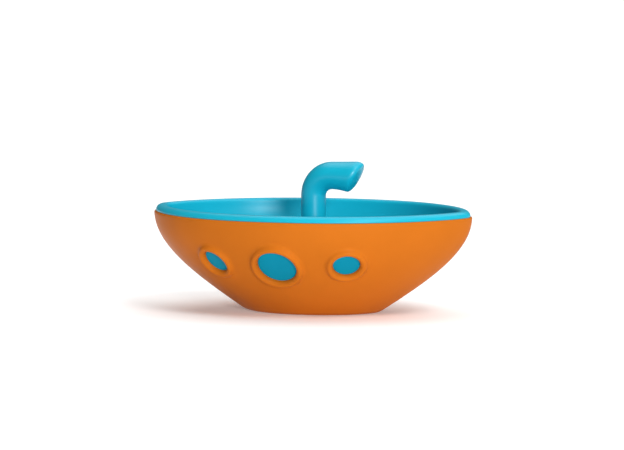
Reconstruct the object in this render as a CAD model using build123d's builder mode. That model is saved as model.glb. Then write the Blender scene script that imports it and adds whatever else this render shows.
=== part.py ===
from build123d import *

import os
from math import cos, pi, radians, sin, sqrt

# Toy bath boat: a moulded hull, an inner liner, six round windows and a periscope that turns.
# Millimetres. The origin is the centre of the flat base and +Z is up. +X is the bow, the way
# the periscope looks at rest, and +Y is the port side.

# ---------------------------------------------------------------- driving dimensions
# Hull form: one family of pointed ovals that grows from the base to the sheer
HALF_LENGTH = 75.0
HALF_BEAM = 54.0
BASE_HALF_LENGTH = 31.5
BASE_HALF_BEAM = 20.5
HULL_HEIGHT = 44.0
LENGTH_POWER = 2.2
BEAM_POWER = 1.5  # under 2, so that the ends come to a point
OUTLINE_POINTS = 32
FORM_STEPS = 6

FIT_PLAY = 0.05  # round a piece glued or clamped in a hole

# Hull shell
HULL_WALL = 2.2
HULL_FLOOR = 2.4
KEEL_EDGE_RADIUS = 3.5

# Cabin liner
LINER_INSET = 4.2  # from the hull's outer surface to the liner's outer surface
LINER_WALL = 2.0
LINER_FLOOR_TOP = 14.0
LINER_FLOOR = 2.2
BOWL_FLOOR_RADIUS = 5.0
RIM_TOP = 46.7
RIM_INSET = 0.8
RIM_OUTER_RADIUS = 2.4
RIM_INNER_RADIUS = 2.4
LOCATING_LIP_DEPTH = 3.0
LOCATING_LIP_PLAY = 0.15

# Windows: place, position along the boat, height of the centre, radius
WINDOWS = (("aft", -30.8, 24.6, 6.0), ("mid", 0.0, 23.4, 8.9), ("fore", 30.8, 24.6, 6.0))
SIDES = (("starboard", -1), ("port", 1))
WINDOW_RECESS = 1.0  # window face below the hull's surface
WINDOW_FLANGE = 1.8
WINDOW_FLANGE_THICKNESS = 1.3
SURROUND_WIDTH = 3.4
SURROUND_HEIGHT = 1.0
SURROUND_CREST = 2.0  # from the opening to the surround's highest place
SURROUND_FOOT = 1.4  # the surround's outer edge below the surface at the window's centre
OPENING_BEVEL = 0.6  # how much wider the opening is at the surface than at the window's face

# Periscope tube: a mast, a quarter bend and a flared head, in two halves
MAST_X = 0.8
TUBE_RADIUS = 5.6
TUBE_WALL = 1.7
BEND_RADIUS = 9.2
BEND_START = 52.0
BEND_END_RADIUS = 6.2
BEND_STEPS = 4
NECK_REACH = 15.0
NECK_HEIGHT = 61.1
NECK_TILT = 8.0
NECK_RADIUS = 6.5
HEAD_REACH = 21.2
HEAD_HEIGHT = 60.8
HEAD_TILT = 27.0  # how far the head looks down, in degrees
HEAD_HALF_HEIGHT = 7.8
HEAD_HALF_WIDTH = 6.6
HEAD_WALL = 2.2
HEAD_EDGE_RADIUS = 2.6

# Swivel under the mast
PEDESTAL_RADIUS = 9.0
PEDESTAL_TOP = 18.0
BEARING_RADIUS = 4.08
BEARING_BOSS_RADIUS = 6.6
BEARING_BOTTOM = 8.0
SPIGOT_RADIUS = 4.0
END_FLOAT = 0.1
COLLAR_RADIUS = 7.8
COLLAR_THICKNESS = 2.4
COLLAR_EDGE_RADIUS = 0.8
PLUG_HEIGHT = 8.0
PLUG_CHAMFER = 0.6
SEAL_HEIGHT = 13.0
SEAL_RADIUS = 0.75
SEAL_CENTRE_RADIUS = 3.28
SEAL_GROOVE_WIDTH = 1.8
WASHER_RADIUS = 6.5
WASHER_THICKNESS = 1.0
SCREW_RADIUS = 1.5
SCREW_DEPTH = 9.0
SCREW_HEAD_RADIUS = 2.9
SCREW_HEAD_HEIGHT = 2.0
SCREW_HEAD_EDGE_RADIUS = 0.6
SCREW_SLOT_WIDTH = 0.9
SCREW_SLOT_DEPTH = 1.0

COLLAR_BOTTOM = PEDESTAL_TOP + END_FLOAT
COLLAR_TOP = COLLAR_BOTTOM + COLLAR_THICKNESS
SPIGOT_END = BEARING_BOTTOM - END_FLOAT
WASHER_BOTTOM = SPIGOT_END - WASHER_THICKNESS

os.makedirs("parts", exist_ok=True)


def save(part, label):
    """Labels one finished piece and writes it as its own STEP file."""
    part.label = label
    export_step(part, f"parts/{label}.step")


# ---------------------------------------------------------------- the hull form
def form_halves(height):
    """Half length and half beam at a height, and how fast each of them grows with height."""
    angle = pi / 2 * height / HULL_HEIGHT
    rate = cos(angle) * pi / 2 / HULL_HEIGHT
    long_reach = HALF_LENGTH - BASE_HALF_LENGTH
    beam_reach = HALF_BEAM - BASE_HALF_BEAM
    return (
        BASE_HALF_LENGTH + long_reach * sin(angle),
        BASE_HALF_BEAM + beam_reach * sin(angle),
        long_reach * rate,
        beam_reach * rate,
    )


def oval_beam(x, half_length, half_beam):
    """Half beam of a pointed oval at a place along it."""
    return half_beam * max(0.0, 1 - abs(x / half_length) ** LENGTH_POWER) ** (1 / BEAM_POWER)


def form_normal(x, y, height):
    """Outward normal of the form, where |x/a|^LENGTH_POWER + |y/b|^BEAM_POWER = 1."""
    half_length, half_beam, length_rate, beam_rate = form_halves(height)
    along, across = abs(x / half_length), abs(y / half_beam)
    slope_x = LENGTH_POWER * along ** (LENGTH_POWER - 1) / half_length
    slope_y = BEAM_POWER * across ** (BEAM_POWER - 1) / half_beam
    slope_z = along * length_rate * slope_x + across * beam_rate * slope_y
    return Vector(slope_x if x > 0 else -slope_x, slope_y if y > 0 else -slope_y, -slope_z).normalized()


def form_outline(height, inset):
    """Points round the oval at a height, small enough to leave a wall inset thick outside it."""
    half_length, half_beam, length_rate, beam_rate = form_halves(height)
    half_length -= inset * sqrt(1 + length_rate**2)
    half_beam -= inset * sqrt(1 + beam_rate**2)
    points = []
    for step in range(OUTLINE_POINTS):
        angle = 2 * pi * step / OUTLINE_POINTS
        x = half_length * cos(angle)
        y = oval_beam(x, half_length, half_beam)
        points.append((x, y if sin(angle) > 0 else -y))
    return points


def form_section(inset, height):
    """Sketch of the form at one height."""
    with BuildSketch(Plane.XY.offset(height)) as section:
        with BuildLine():
            Spline(*form_outline(height, inset), periodic=True)
        make_face()
    return section.sketch


def form_sections(inset, bottom, top, steps=FORM_STEPS):
    """Sketches of the form at even steps between two heights, ready for a loft."""
    return [form_section(inset, bottom + (top - bottom) * step / steps) for step in range(steps + 1)]


# ---------------------------------------------------------------- hull shell
def window_plane(x, height, side):
    """Plane square to the hull at a window: local X runs along the hull, local Y out of it."""
    y = side * oval_beam(x, *form_halves(height)[:2])
    outward = form_normal(x, y, height)
    along = Vector(outward.Y, -outward.X, 0).normalized()
    return Plane(origin=(x, y, height), x_dir=along, z_dir=along.cross(outward))


window_places = [
    (f"window_{place}_{side_name}", radius, window_plane(x, height, side))
    for side_name, side in SIDES
    for place, x, height, radius in WINDOWS
]

with BuildPart() as hull_shell:
    loft(form_sections(0, 0, HULL_HEIGHT))
    fillet(hull_shell.edges().group_by(Axis.Z)[0], KEEL_EDGE_RADIUS)
    # Raised surrounds, each a low round boss with a rounded edge
    for label, radius, plane in window_places:
        outer = radius + SURROUND_WIDTH
        foot = outer - (HULL_WALL - SURROUND_FOOT)
        with BuildSketch(plane):
            with BuildLine():
                Polyline((0, 0), (0, -HULL_WALL), (foot, -HULL_WALL), (outer, -SURROUND_FOOT))
                ThreePointArc(
                    (outer, -SURROUND_FOOT),
                    (radius + SURROUND_CREST, SURROUND_HEIGHT),
                    (radius + OPENING_BEVEL, 0),
                )
                Line((radius + OPENING_BEVEL, 0), (0, 0))
            make_face()
        revolve(axis=Axis(plane.origin, plane.y_dir))
    loft(form_sections(HULL_WALL, HULL_FLOOR, HULL_HEIGHT), mode=Mode.SUBTRACT)
    # Openings, bevelled outside, each with a flat seat inside for the window's flange
    cut_depth = 2 * HULL_WALL
    for label, radius, plane in window_places:
        seat = radius + WINDOW_FLANGE + FIT_PLAY
        mouth = radius + 2 * OPENING_BEVEL
        with BuildSketch(plane):
            with BuildLine():
                Polyline(
                    (0, -cut_depth),
                    (seat, -cut_depth),
                    (seat, -HULL_WALL),
                    (radius, -HULL_WALL),
                    (radius, -WINDOW_RECESS),
                    (mouth, WINDOW_RECESS),
                    (0, WINDOW_RECESS),
                    close=True,
                )
            make_face()
        revolve(axis=Axis(plane.origin, plane.y_dir), mode=Mode.SUBTRACT)
save(hull_shell.part, "hull_shell")

# ---------------------------------------------------------------- windows
for label, radius, plane in window_places:
    back = -HULL_WALL - WINDOW_FLANGE_THICKNESS
    with BuildPart() as window:
        with BuildSketch(plane):
            with BuildLine():
                Polyline(
                    (0, back),
                    (radius + WINDOW_FLANGE, back),
                    (radius + WINDOW_FLANGE, -HULL_WALL),
                    (radius - FIT_PLAY, -HULL_WALL),
                    (radius - FIT_PLAY, -WINDOW_RECESS),
                    (0, -WINDOW_RECESS),
                    close=True,
                )
            make_face()
        revolve(axis=Axis(plane.origin, plane.y_dir))
    save(window.part, label)

# ---------------------------------------------------------------- cabin liner
bowl_inset = LINER_INSET + LINER_WALL

with BuildPart() as bowl_space:
    loft(form_sections(bowl_inset, LINER_FLOOR_TOP, RIM_TOP))
    fillet(bowl_space.edges().group_by(Axis.Z)[0], BOWL_FLOOR_RADIUS)

with BuildPart() as cabin_liner:
    loft(form_sections(LINER_INSET, LINER_FLOOR_TOP - LINER_FLOOR, HULL_HEIGHT))
    # Lip that locates the liner inside the hull's edge, and the rim that stands on the edge
    lip_bottom = HULL_HEIGHT - LOCATING_LIP_DEPTH
    loft(form_sections(HULL_WALL + LOCATING_LIP_PLAY, lip_bottom, HULL_HEIGHT, steps=2))
    add(form_section(RIM_INSET, HULL_HEIGHT))
    extrude(amount=RIM_TOP - HULL_HEIGHT)
    fillet(cabin_liner.edges().group_by(Axis.Z)[-1], RIM_OUTER_RADIUS)
    # Boss under the floor for the periscope's bearing
    with BuildSketch(Plane.XY.offset(BEARING_BOTTOM)):
        with Locations((MAST_X, 0)):
            Circle(BEARING_BOSS_RADIUS)
    extrude(amount=LINER_FLOOR_TOP - BEARING_BOTTOM)
    add(bowl_space.part, mode=Mode.SUBTRACT)
    fillet(cabin_liner.edges().group_by(Axis.Z)[-1], RIM_INNER_RADIUS)
    # Pedestal on the floor, and the bearing through it
    with BuildSketch(Plane.XY.offset(LINER_FLOOR_TOP - LINER_FLOOR / 2)):
        with Locations((MAST_X, 0)):
            Circle(PEDESTAL_RADIUS)
    extrude(amount=PEDESTAL_TOP - LINER_FLOOR_TOP + LINER_FLOOR / 2)
    with BuildSketch(Plane.XY.offset(BEARING_BOTTOM)):
        with Locations((MAST_X, 0)):
            Circle(BEARING_RADIUS)
    extrude(amount=PEDESTAL_TOP - BEARING_BOTTOM, mode=Mode.SUBTRACT)
save(cabin_liner.part, "cabin_liner")

# ---------------------------------------------------------------- periscope tube
def tube_section(x, height, tilt, half_width, half_height):
    """Oval section of the tube. Its normal is level at tilt 0 and straight up at tilt -90."""
    normal = (cos(radians(tilt)), 0, -sin(radians(tilt)))
    with BuildSketch(Plane(origin=(MAST_X + x, 0, height), x_dir=(0, 1, 0), z_dir=normal)) as section:
        Ellipse(half_width, half_height)
    return section.sketch


def tube_sections(wall, head_wall):
    """Sections round the bend and out to the head, wall inside the tube's outer surface."""
    sections = []
    for step in range(BEND_STEPS + 1):
        turn = pi / 2 * step / BEND_STEPS
        radius = TUBE_RADIUS + (BEND_END_RADIUS - TUBE_RADIUS) * step / BEND_STEPS - wall
        x = BEND_RADIUS * (1 - cos(turn))
        height = BEND_START + BEND_RADIUS * sin(turn)
        sections.append(tube_section(x, height, -90 + 90 * step / BEND_STEPS, radius, radius))
    sections.append(tube_section(NECK_REACH, NECK_HEIGHT, NECK_TILT, NECK_RADIUS - wall, NECK_RADIUS - wall))
    x = HEAD_REACH - head_wall * cos(radians(HEAD_TILT))
    height = HEAD_HEIGHT + head_wall * sin(radians(HEAD_TILT))
    sections.append(tube_section(x, height, HEAD_TILT, HEAD_HALF_WIDTH - wall, HEAD_HALF_HEIGHT - wall))
    return sections


with BuildPart() as tube:
    loft(tube_sections(0, 0))
    fillet(tube.edges().sort_by(Axis.X)[-1], HEAD_EDGE_RADIUS)
    with BuildSketch(Plane.XY.offset(COLLAR_TOP)):
        with Locations((MAST_X, 0)):
            Circle(TUBE_RADIUS)
    extrude(amount=BEND_START - COLLAR_TOP)
    loft(tube_sections(TUBE_WALL, HEAD_WALL), mode=Mode.SUBTRACT)
    with BuildSketch(Plane.XY.offset(COLLAR_TOP)):
        with Locations((MAST_X, 0)):
            Circle(TUBE_RADIUS - TUBE_WALL)
    extrude(amount=BEND_START - COLLAR_TOP, mode=Mode.SUBTRACT)

for side_name, side in SIDES:
    with BuildPart() as tube_half:
        add(tube.part)
        split(bisect_by=Plane(origin=(0, 0, 0), z_dir=(0, side, 0)), keep=Keep.TOP)
    save(tube_half.part, f"periscope_half_{side_name}")

# ---------------------------------------------------------------- swivel
mast_axis = Axis((MAST_X, 0, 0), (0, 0, 1))
mast_plane = Plane(origin=(MAST_X, 0, 0), x_dir=(1, 0, 0), z_dir=(0, -1, 0))

with BuildPart() as periscope_spigot:
    groove_floor = SEAL_CENTRE_RADIUS - SEAL_RADIUS
    groove_bottom = SEAL_HEIGHT - SEAL_GROOVE_WIDTH / 2
    plug_radius = TUBE_RADIUS - TUBE_WALL - FIT_PLAY
    with BuildSketch(mast_plane):
        with BuildLine():
            Polyline(
                (0, SPIGOT_END),
                (SPIGOT_RADIUS, SPIGOT_END),
                (SPIGOT_RADIUS, groove_bottom),
                (groove_floor, groove_bottom),
                (groove_floor, groove_bottom + SEAL_GROOVE_WIDTH),
                (SPIGOT_RADIUS, groove_bottom + SEAL_GROOVE_WIDTH),
                (SPIGOT_RADIUS, COLLAR_BOTTOM),
                (COLLAR_RADIUS, COLLAR_BOTTOM),
                (COLLAR_RADIUS, COLLAR_TOP),
                (plug_radius, COLLAR_TOP),
                (plug_radius, COLLAR_TOP + PLUG_HEIGHT),
                (0, COLLAR_TOP + PLUG_HEIGHT),
                close=True,
            )
        make_face()
    revolve(axis=mast_axis)
    chamfer(periscope_spigot.edges().group_by(Axis.Z)[-1], PLUG_CHAMFER)
    collar_edges = periscope_spigot.edges().filter_by(GeomType.CIRCLE).filter_by_position(
        Axis.Z, COLLAR_TOP - END_FLOAT, COLLAR_TOP + END_FLOAT
    )
    fillet(collar_edges.sort_by(SortBy.RADIUS)[-1], COLLAR_EDGE_RADIUS)
    with BuildSketch(Plane.XY.offset(SPIGOT_END)):
        with Locations((MAST_X, 0)):
            Circle(SCREW_RADIUS)
    extrude(amount=SCREW_DEPTH, mode=Mode.SUBTRACT)
save(periscope_spigot.part, "periscope_spigot")

with BuildPart() as spigot_seal:
    with BuildSketch(mast_plane):
        with Locations((SEAL_CENTRE_RADIUS, SEAL_HEIGHT)):
            Circle(SEAL_RADIUS)
    revolve(axis=mast_axis)
save(spigot_seal.part, "spigot_seal")

with BuildPart() as retaining_washer:
    with BuildSketch(Plane.XY.offset(WASHER_BOTTOM)):
        with Locations((MAST_X, 0)):
            Circle(WASHER_RADIUS)
            Circle(SCREW_RADIUS + FIT_PLAY, mode=Mode.SUBTRACT)
    extrude(amount=WASHER_THICKNESS)
save(retaining_washer.part, "retaining_washer")

with BuildPart() as retaining_screw:
    with BuildSketch(Plane.XY.offset(WASHER_BOTTOM)):
        with Locations((MAST_X, 0)):
            Circle(SCREW_HEAD_RADIUS)
    extrude(amount=-SCREW_HEAD_HEIGHT)
    fillet(retaining_screw.edges().group_by(Axis.Z)[0], SCREW_HEAD_EDGE_RADIUS)
    with BuildSketch(Plane.XY.offset(WASHER_BOTTOM)):
        with Locations((MAST_X, 0)):
            Circle(SCREW_RADIUS)
    extrude(amount=WASHER_THICKNESS + SCREW_DEPTH - SCREW_RADIUS)
    with BuildSketch(Plane.XY.offset(WASHER_BOTTOM - SCREW_HEAD_HEIGHT)):
        with Locations((MAST_X, 0)):
            Rectangle(2 * SCREW_HEAD_RADIUS, SCREW_SLOT_WIDTH)
    extrude(amount=SCREW_SLOT_DEPTH, mode=Mode.SUBTRACT)
save(retaining_screw.part, "retaining_screw")
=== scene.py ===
"""Looks of the toy bath boat: hull shell, cabin liner, windows, periscope and swivel.

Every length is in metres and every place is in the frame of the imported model: the origin is
the middle of the flat base, +X is the bow, +Y is port and +Z is up.
"""

import logging
import math
from collections.abc import Callable, Iterable, Sequence
from dataclasses import dataclass, field
from enum import Enum

import bmesh
import bpy
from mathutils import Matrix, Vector

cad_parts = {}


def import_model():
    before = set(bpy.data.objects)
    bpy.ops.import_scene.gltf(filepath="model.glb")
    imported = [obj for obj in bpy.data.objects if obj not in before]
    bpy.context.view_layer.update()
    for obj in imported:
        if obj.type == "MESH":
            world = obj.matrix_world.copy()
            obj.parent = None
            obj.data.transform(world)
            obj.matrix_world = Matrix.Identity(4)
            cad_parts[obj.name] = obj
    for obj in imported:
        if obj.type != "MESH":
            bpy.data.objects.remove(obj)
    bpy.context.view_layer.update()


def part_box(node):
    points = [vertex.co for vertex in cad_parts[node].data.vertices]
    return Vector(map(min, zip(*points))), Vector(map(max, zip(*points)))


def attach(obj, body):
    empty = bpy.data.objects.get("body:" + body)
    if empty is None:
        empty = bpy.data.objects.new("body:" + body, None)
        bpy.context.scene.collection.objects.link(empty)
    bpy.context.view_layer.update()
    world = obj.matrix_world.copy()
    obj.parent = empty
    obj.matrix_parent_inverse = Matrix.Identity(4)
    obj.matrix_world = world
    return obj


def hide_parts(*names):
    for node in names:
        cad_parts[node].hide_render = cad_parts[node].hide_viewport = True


LOG = logging.getLogger("toy_boat")
MM = 0.001
MERGE_DISTANCE = 0.001 * MM
SKIN, LINING = 0, 1  # material places that tell a tube's outer face from its inner one

Ring = Callable[[int], Vector]
Loop = list[bmesh.types.BMVert]
Profile = Sequence[tuple[float, float]]


# ------------------------------------------------------------------ small helpers
def blend(a: float, b: float, share: float) -> float:
    """Returns the value that lies a share of the way from a to b."""
    return a + (b - a) * share


def ease(share: float) -> float:
    """Returns a share from 0 to 1 with a level start and a level end."""
    return (1 - math.cos(math.pi * share)) / 2


def shares(count: int) -> list[float]:
    """Returns the shares 1/count, 2/count and so on, up to 1."""
    return [step / count for step in range(1, count + 1)]


def circle_angle(step: float, count: int) -> float:
    """Returns the angle of a step round a circle of count steps."""
    return 2 * math.pi * step / count


def quarter_turns(count: int) -> list[float]:
    """Returns count even angles up to a quarter turn, without the angle 0."""
    return [math.pi / 2 * share for share in shares(count)]


def past_corner(start: Vector, corner: Vector, end: Vector, share: float) -> Vector:
    """Returns a point of the curve that rounds off the corner between start and end."""
    return start * (1 - share) ** 2 + corner * 2 * share * (1 - share) + end * share**2


def in_turn(vertices: Iterable[bmesh.types.BMVert]) -> Loop:
    """Returns vertices in the order of their angle round the Z axis."""
    return sorted(vertices, key=lambda vertex: math.atan2(vertex.co.y, vertex.co.x) % (2 * math.pi))


def circle_loop(mesh: bmesh.types.BMesh, count: int) -> Loop:
    """Adds a circle of edges and returns its vertices, in order."""
    return in_turn(bmesh.ops.create_circle(mesh, segments=count, radius=1.0)["verts"])


def loop_edges(mesh: bmesh.types.BMesh, loop: Loop) -> list[bmesh.types.BMEdge]:
    """Returns the edges of a closed loop of vertices."""
    return [mesh.edges.get(pair) for pair in zip(loop, loop[1:] + loop[:1])]


def extrude_loop(mesh: bmesh.types.BMesh, loop: Loop, place: Ring) -> Loop:
    """Extrudes a closed loop of vertices and puts each new vertex in its place.

    Args:
        mesh: The mesh that holds the loop.
        loop: The loop's vertices, in order.
        place: Where the new vertex of each place in the loop goes.

    Returns:
        The new loop, in the same order.
    """
    made = bmesh.ops.extrude_edge_only(mesh, edges=loop_edges(mesh, loop))
    fresh = {item for item in made["geom"] if isinstance(item, bmesh.types.BMVert)}
    grown = []
    for index, vertex in enumerate(loop):
        twin = next(e.other_vert(vertex) for e in vertex.link_edges if e.other_vert(vertex) in fresh)
        twin.co = place(index)
        grown.append(twin)
    return grown


def soften(mesh: bmesh.types.BMesh, width: float, segments: int = 3, least_turn: float = 35.0) -> None:
    """Rounds the sharp edges of a closed mesh.

    Args:
        mesh: The mesh.
        width: Size of the rounding.
        segments: Faces across the rounding.
        least_turn: Angle in degrees between two faces from which their edge counts as sharp.
    """
    sharp = [edge for edge in mesh.edges if edge.calc_face_angle(0.0) > math.radians(least_turn)]
    bmesh.ops.bevel(
        mesh,
        geom=sharp,
        offset=width,
        offset_type="OFFSET",
        segments=segments,
        profile=0.5,
        affect="EDGES",
        material=-1,
        clamp_overlap=True,
    )


def merge_and_turn_out(mesh: bmesh.types.BMesh) -> None:
    """Merges vertices that lie on each other and turns every face outward."""
    bmesh.ops.remove_doubles(mesh, verts=mesh.verts, dist=MERGE_DISTANCE)
    bmesh.ops.recalc_face_normals(mesh, faces=mesh.faces)


def add_object(name: str, data: bpy.types.ID) -> bpy.types.Object:
    """Adds an object with the given data to the scene and returns it."""
    made = bpy.data.objects.new(name, data)
    bpy.context.scene.collection.objects.link(made)
    return made


def finished(mesh: bmesh.types.BMesh, name: str) -> bpy.types.Object:
    """Turns a closed mesh into a smooth-shaded object.

    Args:
        mesh: The mesh, which is freed.
        name: The new object's name.

    Returns:
        The object, at the origin, with its place in its mesh.
    """
    merge_and_turn_out(mesh)
    for face in mesh.faces:
        face.smooth = True
    data = bpy.data.meshes.new(name)
    mesh.to_mesh(data)
    mesh.free()
    return add_object(name, data)


def lathe(profile: Profile, axis_point: Vector, axis: Vector, steps: int) -> bmesh.types.BMesh:
    """Spins a closed or axis-to-axis profile into a closed mesh.

    Args:
        profile: Points as (distance from the axis, distance along it).
        axis_point: The point on the axis from which the second distance counts.
        axis: Direction of the axis.
        steps: Faces round the axis.

    Returns:
        The new mesh.
    """
    across = axis.orthogonal().normalized()
    mesh = bmesh.new()
    rim = [mesh.verts.new(axis_point + across * out + axis * along) for out, along in profile]
    for first, second in zip(rim, rim[1:]):
        mesh.edges.new((first, second))
    if profile[0][0] > 0:
        mesh.edges.new((rim[-1], rim[0]))
    bmesh.ops.spin(
        mesh,
        geom=mesh.verts[:] + mesh.edges[:],
        cent=axis_point,
        axis=axis,
        angle=2 * math.pi,
        steps=steps,
        use_merge=True,
    )
    merge_and_turn_out(mesh)
    return mesh


# ------------------------------------------------------------------ finishes
class Grain(Enum):
    """How fine a moulded surface's texture is: noise scale per metre and bump height."""

    SATIN = (2600.0, 0.012 * MM)
    POLISHED = (900.0, 0.004 * MM)


class MixSocket(Enum):
    """Places of a colour mix's sockets, whose names it shares with its number sockets."""

    SHARE = 0
    FIRST = 6
    SECOND = 7
    COLOUR = 2


NOISE_MIDDLE = (0.3, 0.7)  # where nearly all of a noise's values lie


class Sheet:
    """Node tree of one material, with short calls that add and join its nodes."""

    def __init__(self, name: str) -> None:
        """Starts a material that has a Principled shader and Object coordinates."""
        self.material = bpy.data.materials.new(name)
        self.material.use_nodes = True
        self.tree = self.material.node_tree
        self.shader = self.tree.nodes["Principled BSDF"]
        self.coords = self.tree.nodes.new("ShaderNodeTexCoord").outputs["Object"]

    def join(self, source: bpy.types.NodeSocket, target: bpy.types.NodeSocket) -> None:
        """Joins an output to an input."""
        self.tree.links.new(source, target)

    def noise(self, scale: float, detail: float = 3.0, roughness: float = 0.5) -> bpy.types.NodeSocket:
        """Adds a noise on Object coordinates.

        Args:
            scale: Noise scale per metre.
            detail: Octaves of finer noise.
            roughness: Strength of each octave against the one before.

        Returns:
            The noise's value output.
        """
        node = self.tree.nodes.new("ShaderNodeTexNoise")
        node.inputs["Scale"].default_value = scale
        node.inputs["Detail"].default_value = detail
        node.inputs["Roughness"].default_value = roughness
        self.join(self.coords, node.inputs["Vector"])
        return node.outputs["Fac"]

    def spread(self, source: bpy.types.NodeSocket, low: float, high: float) -> bpy.types.NodeSocket:
        """Maps the middle of a noise's range onto low to high and returns the output."""
        node = self.tree.nodes.new("ShaderNodeMapRange")
        node.inputs["From Min"].default_value, node.inputs["From Max"].default_value = NOISE_MIDDLE
        node.inputs["To Min"].default_value = low
        node.inputs["To Max"].default_value = high
        self.join(source, node.inputs["Value"])
        return node.outputs["Result"]

    def mix(self, share: bpy.types.NodeSocket, first: Vector, second: Vector) -> bpy.types.NodeSocket:
        """Mixes two colours by a varying share and returns the colour output."""
        node = self.tree.nodes.new("ShaderNodeMix")
        node.data_type = "RGBA"
        node.inputs[MixSocket.FIRST.value].default_value = (*first, 1.0)
        node.inputs[MixSocket.SECOND.value].default_value = (*second, 1.0)
        self.join(share, node.inputs[MixSocket.SHARE.value])
        return node.outputs[MixSocket.COLOUR.value]

    def bump(
        self, source: bpy.types.NodeSocket, height: float, under: bpy.types.NodeSocket | None = None
    ) -> bpy.types.NodeSocket:
        """Adds a bump.

        Args:
            source: What raises the surface.
            height: How far it rises, in metres.
            under: The bump that this one lies on, if any.

        Returns:
            The bump's normal output.
        """
        node = self.tree.nodes.new("ShaderNodeBump")
        node.inputs["Distance"].default_value = height
        self.join(source, node.inputs["Height"])
        if under is not None:
            self.join(under, node.inputs["Normal"])
        return node.outputs["Normal"]


@dataclass(frozen=True)
class Plastic:
    """Moulded plastic with a slow drift of tone, uneven gloss and a fine surface grain."""

    name: str
    colour: tuple[float, float, float]
    roughness: float
    grain: Grain
    tone_drift: float = 0.06
    gloss_drift: float = 0.05
    ripple: float = 0.02 * MM
    index: float = 1.45

    def material(self) -> bpy.types.Material:
        """Returns the plastic's material."""
        sheet = Sheet(self.name)
        base = Vector(self.colour)
        drift = sheet.spread(sheet.noise(22.0, detail=4.0, roughness=0.55), 0.0, 1.0)
        colour = sheet.mix(drift, base * (1 - self.tone_drift), base * (1 + self.tone_drift))
        sheet.join(colour, sheet.shader.inputs["Base Color"])
        low, high = self.roughness - self.gloss_drift, self.roughness + self.gloss_drift
        gloss = sheet.spread(sheet.noise(60.0, detail=5.0), low, high)
        sheet.join(gloss, sheet.shader.inputs["Roughness"])
        scale, height = self.grain.value
        slow = sheet.bump(sheet.noise(45.0, detail=1.0), self.ripple)
        fine = sheet.bump(sheet.noise(scale, detail=2.0, roughness=0.6), height, under=slow)
        sheet.join(fine, sheet.shader.inputs["Normal"])
        sheet.shader.inputs["IOR"].default_value = self.index
        return sheet.material


@dataclass(frozen=True)
class Rubber:
    """Black moulded rubber, dull and slightly bloomed."""

    name: str
    colour: tuple[float, float, float] = (0.02, 0.02, 0.022)

    def material(self) -> bpy.types.Material:
        """Returns the rubber's material."""
        sheet = Sheet(self.name)
        base = Vector(self.colour)
        bloom = sheet.spread(sheet.noise(700.0, detail=4.0), 0.0, 1.0)
        sheet.join(sheet.mix(bloom, base, base * 2.2), sheet.shader.inputs["Base Color"])
        sheet.join(sheet.spread(sheet.noise(900.0), 0.5, 0.7), sheet.shader.inputs["Roughness"])
        sheet.join(sheet.bump(sheet.noise(4000.0), 0.01 * MM), sheet.shader.inputs["Normal"])
        return sheet.material


@dataclass(frozen=True)
class Steel:
    """Plain stainless steel with fine tumbling marks."""

    name: str
    colour: tuple[float, float, float] = (0.60, 0.59, 0.57)

    def material(self) -> bpy.types.Material:
        """Returns the steel's material."""
        sheet = Sheet(self.name)
        base = Vector(self.colour)
        stain = sheet.spread(sheet.noise(300.0, detail=4.0), 0.0, 1.0)
        sheet.join(sheet.mix(stain, base * 0.88, base * 1.06), sheet.shader.inputs["Base Color"])
        gloss = sheet.spread(sheet.noise(1500.0, detail=5.0), 0.24, 0.38)
        sheet.join(gloss, sheet.shader.inputs["Roughness"])
        marks = sheet.bump(sheet.noise(3500.0, detail=5.0), 0.006 * MM)
        sheet.join(marks, sheet.shader.inputs["Normal"])
        sheet.shader.inputs["Metallic"].default_value = 1.0
        return sheet.material


Finish = Plastic | Rubber | Steel

ORANGE = Plastic("orange_hull_plastic", (0.50, 0.132, 0.010), 0.36, Grain.SATIN, index=1.09)
TURQUOISE = Plastic("turquoise_cabin_plastic", (0.005, 0.38, 0.52), 0.36, Grain.POLISHED, index=1.33)
MAST_TURQUOISE = Plastic(
    "turquoise_periscope_plastic", (0.003, 0.37, 0.51), 0.34, Grain.POLISHED, index=1.4
)
# Window discs: the cabin's turquoise painted darker, as painted shade for the recessed discs that face down;
# low gloss.
SHADED_WINDOW_TURQUOISE = Plastic(
    "deep_turquoise_window_plastic", (0.001, 0.225, 0.345), 0.45, Grain.POLISHED, index=1.12
)
SEAL_RUBBER = Rubber("black_seal_rubber")
FASTENER_STEEL = Steel("plain_fastener_steel")


def dress(piece: bpy.types.Object, finish: Finish) -> None:
    """Puts a finish on a piece, in place of whatever it wore."""
    piece.data.materials.clear()
    piece.data.materials.append(bpy.data.materials.get(finish.name) or finish.material())


# ------------------------------------------------------------------ the hull form
NUDGE = 0.01 * MM
SEARCH_REACH = (-14 * MM, 6 * MM)  # how far inward and outward a line looks for the form
SEARCH_HALVINGS = 30


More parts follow.
